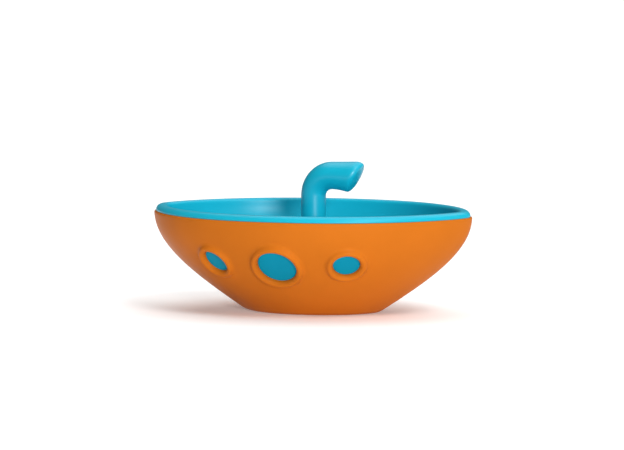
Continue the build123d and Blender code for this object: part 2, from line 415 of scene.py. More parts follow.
@dataclass(frozen=True)
class HullForm:
    """Family of pointed ovals that grows from the base to the sheer.

    At each height the outline is |x / half length| ** length_power + |y / half beam| ** beam_power = 1.
    """

    half_length: float
    half_beam: float
    height: float
    base_half_length: float = 31.5 * MM
    base_half_beam: float = 20.5 * MM
    length_power: float = 2.2
    beam_power: float = 1.5

    def halves(self, height: float, inset: float = 0.0) -> tuple[float, float]:
        """Returns the half length and half beam at a height.

        Args:
            height: Height above the base. Above the sheer, the outline stays the same.
            inset: Thickness of the wall that is left outside the outline.

        Returns:
            Half length and half beam.
        """
        turn = math.pi / 2 * min(1.0, height / self.height)
        slope = math.cos(turn) * math.pi / 2 / self.height
        long_reach = self.half_length - self.base_half_length
        beam_reach = self.half_beam - self.base_half_beam
        half_length = self.base_half_length + long_reach * math.sin(turn)
        half_beam = self.base_half_beam + beam_reach * math.sin(turn)
        return (
            half_length - inset * math.hypot(1.0, long_reach * slope),
            half_beam - inset * math.hypot(1.0, beam_reach * slope),
        )

    def point(self, angle: float, height: float, inset: float = 0.0) -> Vector:
        """Returns the outline's point at an angle round it, at a height and an inset."""
        half_length, half_beam = self.halves(height, inset)
        across = max(0.0, 1 - abs(math.cos(angle)) ** self.length_power) ** (1 / self.beam_power)
        side = math.copysign(half_beam * across, math.sin(angle))
        return Vector((half_length * math.cos(angle), side, height))

    def level(self, place: Vector, inset: float = 0.0) -> float:
        """Returns a number that is below 0 inside the form and above 0 outside it."""
        half_length, half_beam = self.halves(place.z, inset)
        along = abs(place.x / half_length) ** self.length_power
        return along + abs(place.y / half_beam) ** self.beam_power - 1

    def normal(self, place: Vector) -> Vector:
        """Returns the outward direction square to the form at a place on it."""
        slopes = []
        for axis in (Vector((NUDGE, 0, 0)), Vector((0, NUDGE, 0)), Vector((0, 0, NUDGE))):
            slopes.append(self.level(place + axis) - self.level(place - axis))
        return Vector(slopes).normalized()

    def meet(self, start: Vector, outward: Vector, inset: float = 0.0) -> Vector:
        """Finds where a line meets the form.

        Args:
            start: A place near the form.
            outward: Direction of the line, out of the form.
            inset: Thickness of the wall that is left outside the form.

        Returns:
            The point where they meet.
        """
        low, high = SEARCH_REACH
        for _ in range(SEARCH_HALVINGS):
            middle = (low + high) / 2
            if self.level(start + outward * middle, inset) > 0:
                high = middle
            else:
                low = middle
        return start + outward * low


@dataclass(frozen=True)
class Porthole:
    """Place of one round window in the hull's side."""

    label: str
    centre: Vector
    outward: Vector
    radius: float

    @property
    def along(self) -> Vector:
        """Level direction across the window."""
        return Vector((self.outward.y, -self.outward.x, 0)).normalized()

    @property
    def up(self) -> Vector:
        """Direction up the window's face."""
        return self.along.cross(self.outward).normalized()

    def polar(self, place: Vector) -> tuple[float, float]:
        """Returns a place's distance from the window's axis and its angle round it."""
        offset = place - self.centre
        level, rise = offset.dot(self.along), offset.dot(self.up)
        return math.hypot(level, rise), math.atan2(rise, level)

    def place(self, distance: float, angle: float, height: float) -> Vector:
        """Returns the place at a distance and angle round the axis, and a height above the face."""
        arm = self.along * math.cos(angle) + self.up * math.sin(angle)
        return self.centre + arm * distance + self.outward * height

    def on_form(self, form: HullForm, distance: float, angle: float, inset: float = 0.0) -> float:
        """Returns the form's height above the window's face at a distance and angle."""
        start = self.place(distance, angle, 0.0)
        return (form.meet(start, self.outward, inset) - start).dot(self.outward)


# ------------------------------------------------------------------ hull shell
@dataclass
class HullShell:
    """Orange outer moulding: a flared hull with six raised round window surrounds."""

    form: HullForm
    portholes: Sequence[Porthole]
    columns: int = 288
    side_rows: int = 46
    wall: float = 2.2 * MM
    floor: float = 2.4 * MM
    keel_reach: float = 2.6 * MM
    keel_rise: float = 1.6 * MM
    keel_rows: int = 7
    sheer_radius: float = 0.8 * MM
    sheer_rows: int = 5
    surround_width: float = 3.5 * MM
    crest_from_opening: float = 1.8 * MM
    crest_height: float = 1.2 * MM
    lip_drop: float = 0.92 * MM
    recess: float = 1.15 * MM
    seat_width: float = 1.85 * MM
    margin: float = 0.9 * MM
    support_step: float = 0.1 * MM
    floor_shares: tuple[float, ...] = (0.12, 0.4, 0.7, 1.0)
    blend_rows: int = 4
    flank_rows: int = 9
    lip_rows: int = 6
    grid: list[Loop] = field(default_factory=list)
    places: list[list[Vector]] = field(default_factory=list)

    def angle(self, column: int) -> float:
        """Returns a column's angle round the outline."""
        return circle_angle(column, self.columns)

    def build(self) -> bpy.types.Object:
        """Builds the shell as one closed mesh and returns its object."""
        mesh = bmesh.new()
        outer = self.skin(mesh, 0.0)
        inner = self.skin(mesh, self.wall)
        for start, end in zip(outer, inner):
            extrude_loop(mesh, start, lambda k, end=end: end[k].co)
        return finished(mesh, "hull_shell_skin")

    def skin(self, mesh: bmesh.types.BMesh, inset: float) -> list[Loop]:
        """Grows one face of the shell, from the middle of the floor up to the rim.

        Args:
            mesh: The mesh it grows in.
            inset: 0 for the outer face, the wall's thickness for the inner face.

        Returns:
            The inmost loop of each window opening, then the loop round the top.
        """
        disc = bmesh.ops.create_circle(
            mesh, cap_ends=True, cap_tris=True, segments=self.columns, radius=1.0
        )
        rim = in_turn(vertex for vertex in disc["verts"] if vertex.co.length > 0.5)
        bottom = self.floor if inset else 0.0
        self.grid = [rim]
        rings = self.floor_rings(inset, bottom) + self.side_rings(inset, bottom)
        for vertex in disc["verts"]:
            vertex.co.z = bottom
        for column, vertex in enumerate(rim):
            vertex.co = rings[0](column)
        for ring in rings[1:]:
            self.grid.append(extrude_loop(mesh, self.grid[-1], ring))
        if not inset:
            self.places = [[vertex.co.copy() for vertex in row] for row in self.grid]
        openings = [self.opening(mesh, porthole, inset) for porthole in self.portholes]
        return [*openings, self.grid[-1]]

    def floor_rings(self, inset: float, bottom: float) -> list[Ring]:
        """Returns the rings of the flat floor and of the rounded edge round it."""
        rings: list[Ring] = []
        for share in self.floor_shares:
            rings.append(lambda c, s=share: self.edge_of_flat(c, inset, bottom, s))
        for share in shares(self.keel_rows):
            rings.append(lambda c, s=share: self.keel(c, inset, bottom, s))
        return rings

    def edge_of_flat(self, column: int, inset: float, bottom: float, share: float) -> Vector:
        """Returns a floor point, at a share of the way out to where the floor ends."""
        place = self.form.point(self.angle(column), bottom, inset + self.keel_reach / 2)
        return Vector((place.x * share, place.y * share, bottom))

    def keel(self, column: int, inset: float, bottom: float, share: float) -> Vector:
        """Returns a point on the curve from the flat floor up into the side."""
        angle = self.angle(column)
        start = self.form.point(angle, bottom, inset + self.keel_reach / 2)
        corner = self.form.point(angle, bottom, inset)
        end = self.form.point(angle, bottom + self.keel_rise, inset)
        return past_corner(start, corner, end, share)

    def side_rings(self, inset: float, bottom: float) -> list[Ring]:
        """Returns the rings of the side and, outside, of the rounded sheer edge."""
        low = bottom + self.keel_rise
        high = self.form.height - self.sheer_radius
        rings: list[Ring] = []
        for share in shares(self.side_rows):
            rings.append(lambda c, s=share: self.form.point(self.angle(c), blend(low, high, s), inset))
        for turn in quarter_turns(self.sheer_rows):
            back = 0.0 if inset else self.sheer_radius * (1 - math.cos(turn))
            rise = self.sheer_radius * math.sin(turn)
            rings.append(lambda c, b=back, r=rise: self.form.point(self.angle(c), high + r, inset + b))
        return rings

    def opening(self, mesh: bmesh.types.BMesh, porthole: Porthole, inset: float) -> Loop:
        """Cuts a window's opening into a face of the shell.

        Args:
            mesh: The mesh that holds the face.
            porthole: The window's place.
            inset: 0 for the outer face, which gets the raised surround.

        Returns:
            The loop round the opening.
        """
        reach = porthole.radius + (self.seat_width if inset else self.surround_width) + self.margin
        loop = self.clear_block(mesh, self.block_round(porthole))
        corners = [porthole.polar(vertex.co) for vertex in loop]
        for share in shares(self.blend_rows):
            loop = extrude_loop(
                mesh, loop, lambda k, s=share: self.toward_circle(porthole, corners[k], reach, s, inset)
            )
        profile = self.seat(porthole, corners, inset) if inset else self.surround(porthole, corners)
        for ring in profile:
            loop = extrude_loop(mesh, loop, ring)
        return loop

    def block_round(self, porthole: Porthole) -> tuple[int, int, int, int]:
        """Finds the columns and rows whose block just clears a window's surround.

        Args:
            porthole: The window's place.

        Returns:
            First and last column, then first and last row.
        """
        spots = [(row, column) for row in range(len(self.places)) for column in range(self.columns)]
        row, column = min(spots, key=lambda spot: (self.places[spot[0]][spot[1]] - porthole.centre).length)
        first, last, low, high = column, column, row, row
        clear = porthole.radius + self.surround_width + 2 * self.margin
        for _ in range(2):
            while self.gap(porthole, first, first, low, high) < clear:
                first -= 1
            while self.gap(porthole, last, last, low, high) < clear:
                last += 1
            while self.gap(porthole, first, last, low, low) < clear:
                low -= 1
            while self.gap(porthole, first, last, high, high) < clear:
                high += 1
        return first, last, low, high

    def gap(self, porthole: Porthole, first: int, last: int, low: int, high: int) -> float:
        """Returns how near a range of columns and rows comes to a window's axis."""
        spots = [(row, column) for row in range(low, high + 1) for column in range(first, last + 1)]
        return min(porthole.polar(self.places[row][column])[0] for row, column in spots)

    def clear_block(self, mesh: bmesh.types.BMesh, block: tuple[int, int, int, int]) -> Loop:
        """Takes the faces out of a block of the grid and returns the loop round the hole."""
        first, last, low, high = block
        inside = {self.grid[row][column] for row in range(low, high + 1) for column in range(first, last + 1)}
        faces = {face for vertex in inside for face in vertex.link_faces if inside.issuperset(face.verts)}
        loop = [self.grid[low][column] for column in range(first, last + 1)]
        loop += [self.grid[row][last] for row in range(low + 1, high + 1)]
        loop += [self.grid[high][column] for column in range(last - 1, first - 1, -1)]
        loop += [self.grid[row][first] for row in range(high - 1, low, -1)]
        bmesh.ops.delete(mesh, geom=list(faces), context="FACES")
        return loop

    def toward_circle(
        self, porthole: Porthole, corner: tuple[float, float], reach: float, share: float, inset: float
    ) -> Vector:
        """Returns a point of the hull's face between the block's edge and the circle in it."""
        distance, angle = blend(corner[0], reach, share), corner[1]
        return porthole.place(distance, angle, porthole.on_form(self.form, distance, angle, inset))

    def surround(self, porthole: Porthole, corners: Profile) -> list[Ring]:
        """Returns the rings of the raised surround, from its foot to the window's face.

        Args:
            porthole: The window's place.
            corners: Distance and angle of each vertex of the block's edge.

        Returns:
            The rings, outermost first.
        """
        foot = porthole.radius + self.surround_width
        crest = porthole.radius + self.crest_from_opening
        rings: list[Ring] = []
        for share in shares(self.flank_rows):
            rings.append(lambda k, s=share: self.flank(porthole, corners[k][1], foot, crest, s))
        for turn in quarter_turns(self.lip_rows):
            distance = crest - self.crest_from_opening * math.sin(turn)
            height = self.crest_height - (self.crest_height + self.lip_drop) * (1 - math.cos(turn))
            rings.append(lambda k, d=distance, h=height: porthole.place(d, corners[k][1], h))
        halfway = -0.5 * (self.lip_drop + self.recess)
        for height in (halfway, -self.recess, -self.recess - self.support_step):
            rings.append(lambda k, h=height: porthole.place(porthole.radius, corners[k][1], h))
        return rings

    def flank(self, porthole: Porthole, angle: float, foot: float, crest: float, share: float) -> Vector:
        """Returns a point on the surround's outer flank, from the hull's face up to its crest."""
        distance = blend(foot, crest, share)
        hull = porthole.on_form(self.form, distance, angle)
        height = blend(hull, self.crest_height, math.sin(math.pi / 2 * share))
        return porthole.place(distance, angle, height)

    def seat(self, porthole: Porthole, corners: Profile, inset: float) -> list[Ring]:
        """Returns the rings of the flat seat that takes the window's flange."""
        edge = porthole.radius + self.seat_width

        def wall_height(angle: float) -> float:
            """Returns the wall's height over the window's face, or the seat's where that is lower."""
            return min(-inset, porthole.on_form(self.form, edge, angle, inset))

        return [
            lambda k: porthole.place(edge, corners[k][1], wall_height(corners[k][1])),
            lambda k: porthole.place(edge, corners[k][1], -inset),
            lambda k: porthole.place(porthole.radius, corners[k][1], -inset),
        ]


# ------------------------------------------------------------------ windows
@dataclass
class Window:
    """Turquoise disc with a flange, let into the hull from inside."""

    porthole: Porthole
    play: float = 0.05 * MM
    face: float = -1.0 * MM
    seat: float = -2.2 * MM
    flange_width: float = 1.8 * MM
    flange_thickness: float = 1.3 * MM
    edge_radius: float = 0.18 * MM
    steps: int = 96

    def build(self) -> bpy.types.Object:
        """Builds the window and returns its object."""
        disc = self.porthole.radius - self.play
        flange = self.porthole.radius + self.flange_width
        back = self.seat - self.flange_thickness
        support = disc - 4 * self.edge_radius
        profile = [
            (0, back),
            (flange, back),
            (flange, self.seat),
            (disc, self.seat),
            (disc, self.face),
            (support, self.face),
            (0, self.face),
        ]
        mesh = lathe(profile, self.porthole.centre, self.porthole.outward, self.steps)
        soften(mesh, self.edge_radius)
        return finished(mesh, f"{self.porthole.label}_disc")


# ------------------------------------------------------------------ cabin liner
@dataclass
class CabinLiner:
    """Turquoise bowl with a rounded rim that stands on the hull's edge, and the mast's bearing."""

    form: HullForm
    mast: Vector
    columns: int = 240
    inset: float = 4.2 * MM
    wall: float = 2.0 * MM
    floor_top: float = 14.0 * MM
    floor: float = 2.2 * MM
    bowl_reach: float = 2.6 * MM
    bowl_rise: float = 3.2 * MM
    rim_top: float = 46.7 * MM
    rim_inset: float = 0.8 * MM
    rim_outer: float = 2.5 * MM
    rim_inner: float = 1.5 * MM
    rim_foot: float = 0.25 * MM
    lip_inset: float = 2.35 * MM
    lip_depth: float = 3.0 * MM
    pedestal_radius: float = 9.0 * MM
    pedestal_top: float = 18.0 * MM
    pedestal_edge: float = 0.6 * MM
    pedestal_foot: float = 1.6 * MM
    bearing_radius: float = 4.08 * MM
    boss_radius: float = 6.6 * MM
    boss_bottom: float = 8.0 * MM
    mouth_edge: float = 0.3 * MM
    pedestal_edge_rows: int = 4
    pedestal_foot_rows: int = 5
    floor_rows: int = 12
    bowl_edge_rows: int = 10
    side_rows: int = 30
    rim_rows: int = 9
    outside_rows: int = 20

    def angle(self, column: int) -> float:
        """Returns a column's angle round the outline."""
        return circle_angle(column, self.columns)

    def outline(self, column: int, height: float, inset: float) -> Vector:
        """Returns a point on the form."""
        return self.form.point(self.angle(column), height, inset)

    def round_mast(self, column: int, radius: float, height: float) -> Vector:
        """Returns a point on a circle round the mast's axis, in line with the column's outline."""
        edge = self.outline(column, self.floor_top, self.inset) - self.mast
        turn = math.atan2(edge.y, edge.x)
        return Vector((self.mast.x + radius * math.cos(turn), self.mast.y + radius * math.sin(turn), height))

    def oval(self, height: float, inset: float) -> Ring:
        """Returns the ring that follows the form at a height and an inset."""
        return lambda column: self.outline(column, height, inset)

    def circle(self, radius: float, height: float) -> Ring:
        """Returns the ring round the mast's axis with a radius, at a height."""
        return lambda column: self.round_mast(column, radius, height)

    def build(self) -> bpy.types.Object:
        """Builds the liner as one closed mesh and returns its object."""
        mesh = bmesh.new()
        first = circle_loop(mesh, self.columns)
        rings = self.pedestal() + self.bowl() + self.rim() + self.underside()
        for column, vertex in enumerate(first):
            vertex.co = rings[0](column)
        loop = first
        for ring in rings[1:]:
            loop = extrude_loop(mesh, loop, ring)
        extrude_loop(mesh, loop, lambda k: first[k].co)
        return finished(mesh, "cabin_liner_skin")

    def pedestal(self) -> list[Ring]:
        """Returns the rings from the bearing's mouth over the pedestal to the floor round it."""
        rings = [
            self.circle(self.bearing_radius, self.pedestal_top - self.mouth_edge),
            self.circle(self.bearing_radius + self.mouth_edge, self.pedestal_top),
        ]
        for turn in (0.0, *quarter_turns(self.pedestal_edge_rows)):
            radius = self.pedestal_radius - self.pedestal_edge * (1 - math.sin(turn))
            height = self.pedestal_top - self.pedestal_edge * (1 - math.cos(turn))
            rings.append(self.circle(radius, height))
        for turn in (0.0, *quarter_turns(self.pedestal_foot_rows)):
            radius = self.pedestal_radius + self.pedestal_foot * (1 - math.cos(turn))
            height = self.floor_top + self.pedestal_foot * (1 - math.sin(turn))
            rings.append(self.circle(radius, height))
        return rings

    def bowl(self) -> list[Ring]:
        """Returns the rings of the bowl's floor, its rounded edge and its side."""
        inside = self.inset + self.wall
        foot = self.pedestal_radius + self.pedestal_foot
        rings: list[Ring] = []
        for share in shares(self.floor_rows):
            rings.append(lambda c, s=share: self.floor_point(c, foot, inside, s))
        for share in shares(self.bowl_edge_rows):
            rings.append(lambda c, s=share: self.bowl_edge(c, inside, s))
        low, high = self.floor_top + self.bowl_rise, self.rim_top - self.rim_inner
        rings += [self.oval(blend(low, high, share), inside) for share in shares(self.side_rows)]
        return rings

    def floor_point(self, column: int, foot: float, inside: float, share: float) -> Vector:
        """Returns a floor point between the pedestal's foot and the floor's rounded edge."""
        start = self.round_mast(column, foot, self.floor_top)
        return start.lerp(self.outline(column, self.floor_top, inside + self.bowl_reach), share)

    def bowl_edge(self, column: int, inside: float, share: float) -> Vector:
        """Returns a point on the curve from the bowl's floor up into its side."""
        start = self.outline(column, self.floor_top, inside + self.bowl_reach)
        corner = self.outline(column, self.floor_top, inside)
        end = self.outline(column, self.floor_top + self.bowl_rise, inside)
        return past_corner(start, corner, end, share)

    def rim(self) -> list[Ring]:
        """Returns the rings over the rounded rim, from inside the bowl to the hull's edge."""
        rings = []
        for turn in quarter_turns(self.rim_rows):
            height = self.rim_top - self.rim_inner * (1 - math.sin(turn))
            inset = self.inset + self.wall - self.rim_inner * (1 - math.cos(turn))
            rings.append(self.oval(height, inset))
        for turn in (0.0, *quarter_turns(self.rim_rows)):
            height = self.rim_top - self.rim_outer * (1 - math.cos(turn))
            rings.append(self.oval(height, self.rim_inset + self.rim_outer * (1 - math.sin(turn))))
        sheer = self.form.height
        return rings + [
            self.oval(sheer + 0.4 * self.rim_foot, self.rim_inset + 0.3 * self.rim_foot),
            self.oval(sheer, self.rim_inset + self.rim_foot),
            self.oval(sheer, self.lip_inset),
            self.oval(sheer - self.lip_depth, self.lip_inset),
            self.oval(sheer - self.lip_depth, self.inset),
        ]

    def underside(self) -> list[Ring]:
        """Returns the rings down the liner's outer face to the boss, and up into the bearing."""
        top, bottom = self.form.height - self.lip_depth, self.floor_top - self.floor
        rings = [self.oval(blend(top, bottom, share), self.inset) for share in shares(self.outside_rows)]
        return rings + [
            self.circle(self.boss_radius, bottom),
            self.circle(self.boss_radius, self.boss_bottom),
            self.circle(self.bearing_radius, self.boss_bottom),
        ]


# ------------------------------------------------------------------ periscope
class Side(Enum):
    """Side of the boat, by the sign of Y."""

    PORT = 1
    STARBOARD = -1


@dataclass
class PeriscopeTube:
    """Turquoise tube in two halves: a mast, a quarter bend and a flared, closed head."""

    mast: Vector
    foot: float = 20.5 * MM
    radius: float = 5.6 * MM
    wall: float = 1.7 * MM
    bend_start: float = 52.0 * MM
    bend_radius: float = 9.2 * MM
    bend_end_radius: float = 6.2 * MM
    head_reach: float = 21.2 * MM
    head_height: float = 60.8 * MM
    head_tilt: float = math.radians(27)
    head_half_height: float = 7.8 * MM
    head_half_width: float = 6.6 * MM
    head_edge: float = 3.0 * MM
    head_dome: float = 0.5 * MM
    head_wall: float = 2.2 * MM
    seam_gap: float = 0.02 * MM
    seam_edge: float = 0.12 * MM
    flare_power: float = 1.8
    tilt_power: float = 1.6
    segments: int = 96
    mast_rows: int = 16
    bend_rows: int = 20
    arm_rows: int = 12
    head_edge_rows: int = 10
    face_shares: tuple[float, ...] = (0.3, 0.6, 0.85)

    def station(self, place: float) -> tuple[float, float, float, float, float]:
        """Describes the tube's section at a place along it.

        Args:
            place: 0 to 1 up the mast, 1 to 2 round the bend, 2 to 3 out to the head.

        Returns:
            Reach from the mast's axis, height, tilt below level, half width, half height.
        """
        if place <= 1:
            return 0.0, blend(self.foot, self.bend_start, place), -math.pi / 2, self.radius, self.radius
        bend_top = self.bend_start + self.bend_radius
        if place <= 2:
            turn = math.pi / 2 * (place - 1)
            radius = blend(self.radius, self.bend_end_radius, ease(place - 1))
            reach = self.bend_radius * (1 - math.cos(turn))
            height = self.bend_start + self.bend_radius * math.sin(turn)
            return reach, height, turn - math.pi / 2, radius, radius
        share = place - 2
        flare = share**self.flare_power
        reach = blend(self.bend_radius, self.head_reach, share)
        height = blend(bend_top, self.head_height, ease(share))
        tilt = self.head_tilt * share**self.tilt_power
        return (
            reach,
            height,
            tilt,
            blend(self.bend_end_radius, self.head_half_width, flare),
            blend(self.bend_end_radius, self.head_half_height, flare),
        )

    @property
    def arm_length(self) -> float:
        """Length from the end of the bend to the head's face."""
        return self.head_reach - self.bend_radius

    def section(self, place: float, inset: float, step: int, forward: float = 0.0) -> Vector:
        """Returns a point on the tube's section.

        Args:
            place: Place along the tube, as for station.
            inset: How far inside the tube's outer face the point lies.
            step: Which of the points round the section it is.
            forward: How far the section is moved along the tube.

        Returns:
            The point.
        """
        reach, height, tilt, half_width, half_height = self.station(place)
        ahead = Vector((math.cos(tilt), 0, -math.sin(tilt)))
        rise = Vector((math.sin(tilt), 0, math.cos(tilt)))
        angle = circle_angle(step + 0.5, self.segments)
        centre = Vector((self.mast.x + reach, self.mast.y, height)) + ahead * forward
        side = Vector((0, 1, 0)) * (half_width - inset) * math.cos(angle)
        return centre + side + rise * (half_height - inset) * math.sin(angle)

    def grow(self, mesh: bmesh.types.BMesh, wall: float, head_wall: float) -> Loop:
        """Grows one face of the tube, outer or inner, from its foot to its closed head.

        Args:
            mesh: The mesh it grows in.
            wall: How far inside the outer face it lies.
            head_wall: How far behind the head's face it ends.

        Returns:
            The loop round the foot.
        """
        foot = circle_loop(mesh, self.segments)
        for step, vertex in enumerate(foot):
            vertex.co = self.section(0.0, wall, step)
        edge = self.head_edge - 0.5 * wall
        end = 3.0 - head_wall / self.arm_length
        straight = end - 2.0 - edge / self.arm_length
        places = shares(self.mast_rows) + [1 + share for share in shares(self.bend_rows)]
        places += [2 + straight * share for share in shares(self.arm_rows)]
        loop = foot
        for place in places:
            loop = extrude_loop(mesh, loop, lambda k, p=place: self.section(p, wall, k))
        for turn in quarter_turns(self.head_edge_rows):
            place = end - edge * (1 - math.sin(turn)) / self.arm_length
            inset = wall + edge * (1 - math.cos(turn))
            loop = extrude_loop(mesh, loop, lambda k, p=place, i=inset: self.section(p, i, k))
        for share in self.face_shares:
            inset = blend(wall + edge, self.head_half_width, share)
            bulge = 0.0 if wall else self.head_dome * (1 - (1 - share) ** 2)
            loop = extrude_loop(mesh, loop, lambda k, i=inset, f=bulge: self.section(end, i, k, forward=f))
        bmesh.ops.contextual_create(mesh, geom=loop_edges(mesh, loop))
        return foot

    def build(self, side: Side) -> bpy.types.Object:
        """Builds one half of the tube, with its rounded seam edge, and returns its object."""
        mesh = bmesh.new()
        outer = self.grow(mesh, 0.0, 0.0)
        skin = set(mesh.faces)
        inner = self.grow(mesh, self.wall, self.head_wall)
        for face in mesh.faces:
            face.material_index = SKIN if face in skin else LINING
        extrude_loop(mesh, outer, lambda k: inner[k].co)
        merge_and_turn_out(mesh)
        for depth in (self.seam_edge, 0.4 * self.seam_edge, 0.0):
            bmesh.ops.bisect_plane(
                mesh,
                geom=mesh.verts[:] + mesh.edges[:] + mesh.faces[:],
                plane_co=(0, side.value * (self.seam_gap + depth), 0),
                plane_no=(0, -side.value, 0),
                clear_outer=depth == 0.0,
                dist=MERGE_DISTANCE,
            )
        self.round_seam(mesh)
        seam = [edge for edge in mesh.edges if edge.is_boundary]
        bmesh.ops.triangle_fill(mesh, use_beauty=True, use_dissolve=False, edges=seam, normal=(0, 1, 0))
        for face in mesh.faces:
            face.material_index = SKIN
        return finished(mesh, f"periscope_half_{side.name.lower()}_shell")

    def round_seam(self, mesh: bmesh.types.BMesh) -> None:
        """Sinks the outer face a little where it comes to the seam, so that a fine line shows there."""
        mesh.normal_update()
        for vertex in mesh.verts:
            near = 1 - (abs(vertex.co.y) - self.seam_gap) / self.seam_edge
            lined = any(face.material_index == LINING for face in vertex.link_faces)
            if near > 0 and not lined:
                inward = Vector((-vertex.normal.x, 0, -vertex.normal.z)).normalized()
                vertex.co += inward * self.seam_edge * near**2


# ------------------------------------------------------------------ swivel
UPWARD = Vector((0, 0, 1))


@dataclass
class Swivel:
    """What lets the periscope turn: spigot with its collar, seal, washer and screw."""

    mast: Vector
    collar_bottom: float = 18.1 * MM
    collar_top: float = 20.5 * MM
    collar_radius: float = 7.8 * MM
    plug_radius: float = 3.85 * MM
    plug_top: float = 28.5 * MM
    spigot_radius: float = 4.0 * MM
    spigot_end: float = 7.9 * MM
    seal_height: float = 13.0 * MM
    seal_radius: float = 0.75 * MM
    seal_centre_radius: float = 3.28 * MM
    groove_width: float = 1.8 * MM
    washer_radius: float = 6.5 * MM
    washer_thickness: float = 1.0 * MM
    screw_radius: float = 1.5 * MM
    screw_depth: float = 9.0 * MM
    screw_core: float = 1.15 * MM
    thread_pitch: float = 0.9 * MM
    head_radius: float = 2.9 * MM
    head_height: float = 2.0 * MM
    slot_width: float = 0.9 * MM
    slot_depth: float = 1.0 * MM
    spigot_edge: float = 0.25 * MM
    washer_edge: float = 0.12 * MM
    washer_play: float = 0.05 * MM
    dome_share: float = 0.6
    dome_rows: int = 6
    crest_play: float = 0.02 * MM
    plain_tip: float = 0.5 * MM
    slot_wall: float = 0.03 * MM
    slot_reach: float = 0.3 * MM
    ring_steps: int = 20
    screw_steps: int = 48
    steps: int = 96

    def turned(self, profile: Profile, edge: float, name: str) -> bpy.types.Object:
        """Builds a piece turned about the mast's axis, with rounded edges."""
        mesh = lathe(profile, self.mast, UPWARD, self.steps)
        soften(mesh, edge)
        return finished(mesh, name)

    def spigot(self) -> bpy.types.Object:
        """Builds the spigot with its collar, seal groove and screw hole."""
        groove_floor = self.seal_centre_radius - self.seal_radius
        groove_low = self.seal_height - self.groove_width / 2
        groove_high = self.seal_height + self.groove_width / 2
        hole_top = self.spigot_end + self.screw_depth
        profile = [
            (0, hole_top),
            (self.screw_radius, hole_top),
            (self.screw_radius, self.spigot_end),
            (self.spigot_radius, self.spigot_end),
            (self.spigot_radius, groove_low),
            (groove_floor, groove_low),
            (groove_floor, groove_high),
            (self.spigot_radius, groove_high),
            (self.spigot_radius, self.collar_bottom),
            (self.collar_radius, self.collar_bottom),
            (self.collar_radius, self.collar_top),
            (self.plug_radius, self.collar_top),
            (self.plug_radius, self.plug_top),
            (0, self.plug_top),
        ]
        return self.turned(profile, self.spigot_edge, "periscope_spigot_body")

    def seal(self) -> bpy.types.Object:
        """Builds the rubber ring in the spigot's groove."""
        profile = [
            (
                self.seal_centre_radius + self.seal_radius * math.cos(turn),
                self.seal_height + self.seal_radius * math.sin(turn),
            )
            for turn in (2 * math.pi * share for share in shares(self.ring_steps))
        ]
        return finished(lathe(profile, self.mast, UPWARD, self.steps), "spigot_seal_ring")

    def washer(self) -> bpy.types.Object:
        """Builds the washer under the bearing."""
        top, bottom = self.spigot_end, self.spigot_end - self.washer_thickness
        hole = self.screw_radius + self.washer_play
        profile = [(hole, bottom), (self.washer_radius, bottom), (self.washer_radius, top), (hole, top)]
        return self.turned(profile, self.washer_edge, "retaining_washer_disc")

    def screw(self) -> bpy.types.Object:
        """Builds the screw, with ribs for its thread and a slot across its domed head."""
        seat = self.spigot_end - self.washer_thickness
        head = seat - self.head_height
        profile = [(0, head)]
        for turn in quarter_turns(self.dome_rows):
            rise = self.dome_share * self.head_height * (1 - math.cos(turn))
            profile.append((self.head_radius * math.sin(turn), head + rise))
        profile += [(self.head_radius, seat), (self.screw_core, seat)]
        tip = self.spigot_end + self.screw_depth - self.screw_radius
        rib = self.spigot_end
        while rib + self.thread_pitch < tip - self.plain_tip:
            profile.append((self.screw_core, rib))
            profile.append((self.screw_radius - self.crest_play, rib + 0.5 * self.thread_pitch))
            rib += self.thread_pitch
        profile += [(self.screw_core, rib), (0.5 * self.screw_core, tip), (0, tip)]
        mesh = lathe(profile, self.mast, UPWARD, self.screw_steps)
        self.cut_slot(mesh, head)
        return finished(mesh, "retaining_screw_body")

    def cut_slot(self, mesh: bmesh.types.BMesh, head: float) -> None:
        """Presses a slot into the underside of the screw's head."""
        half = self.slot_width / 2
        for side in (-1, 1):
            for offset in (half, half + self.slot_wall):
                near = [v for v in mesh.verts if v.co.z < head + self.slot_depth + self.slot_reach]
                linked = {e for v in near for e in v.link_edges} | {f for v in near for f in v.link_faces}
                bmesh.ops.bisect_plane(
                    mesh,
                    geom=near + list(linked),
                    plane_co=(0, self.mast.y + side * offset, 0),
                    plane_no=(0, 1, 0),
                    dist=MERGE_DISTANCE,
                )
        floor = head + self.slot_depth
        for vertex in mesh.verts:
            if abs(vertex.co.y - self.mast.y) <= half + MERGE_DISTANCE and vertex.co.z < floor:
                vertex.co.z = floor


# ------------------------------------------------------------------ studio
@dataclass(frozen=True)
class Lamp:
    """A soft distant light: its name, irradiance, angular size and place, with angles in degrees."""

    name: str
    strength: float
    spread: float
    azimuth: float
    elevation: float


LAMPS = (
    Lamp("front_light", strength=2.2, spread=14.0, azimuth=34.0, elevation=8.0),
    Lamp("right_light", strength=1.2, spread=22.0, azimuth=50.0, elevation=46.0),
    Lamp("top_light", strength=2.2, spread=80.0, azimuth=165.0, elevation=72.0),
)
WHITE = (1.0, 1.0, 1.0, 1.0)
SURROUNDING_LIGHT = 0.12
FLOOR_TONES = (Vector((0.88, 0.875, 0.87)), Vector((0.90, 0.895, 0.89)))
FLOOR_SHADER = {
    "Roughness": 0.9,
    "Specular IOR Level": 0.1,
    "Emission Color": WHITE,
    "Emission Strength": 0.20,
}


def direction(azimuth: float, elevation: float) -> Vector:
    """Returns the direction of a place in the sky: azimuth 0 is to starboard, a quarter turn is ahead."""
    level = math.cos(elevation)
    return Vector((math.sin(azimuth) * level, -math.cos(azimuth) * level, math.sin(elevation)))


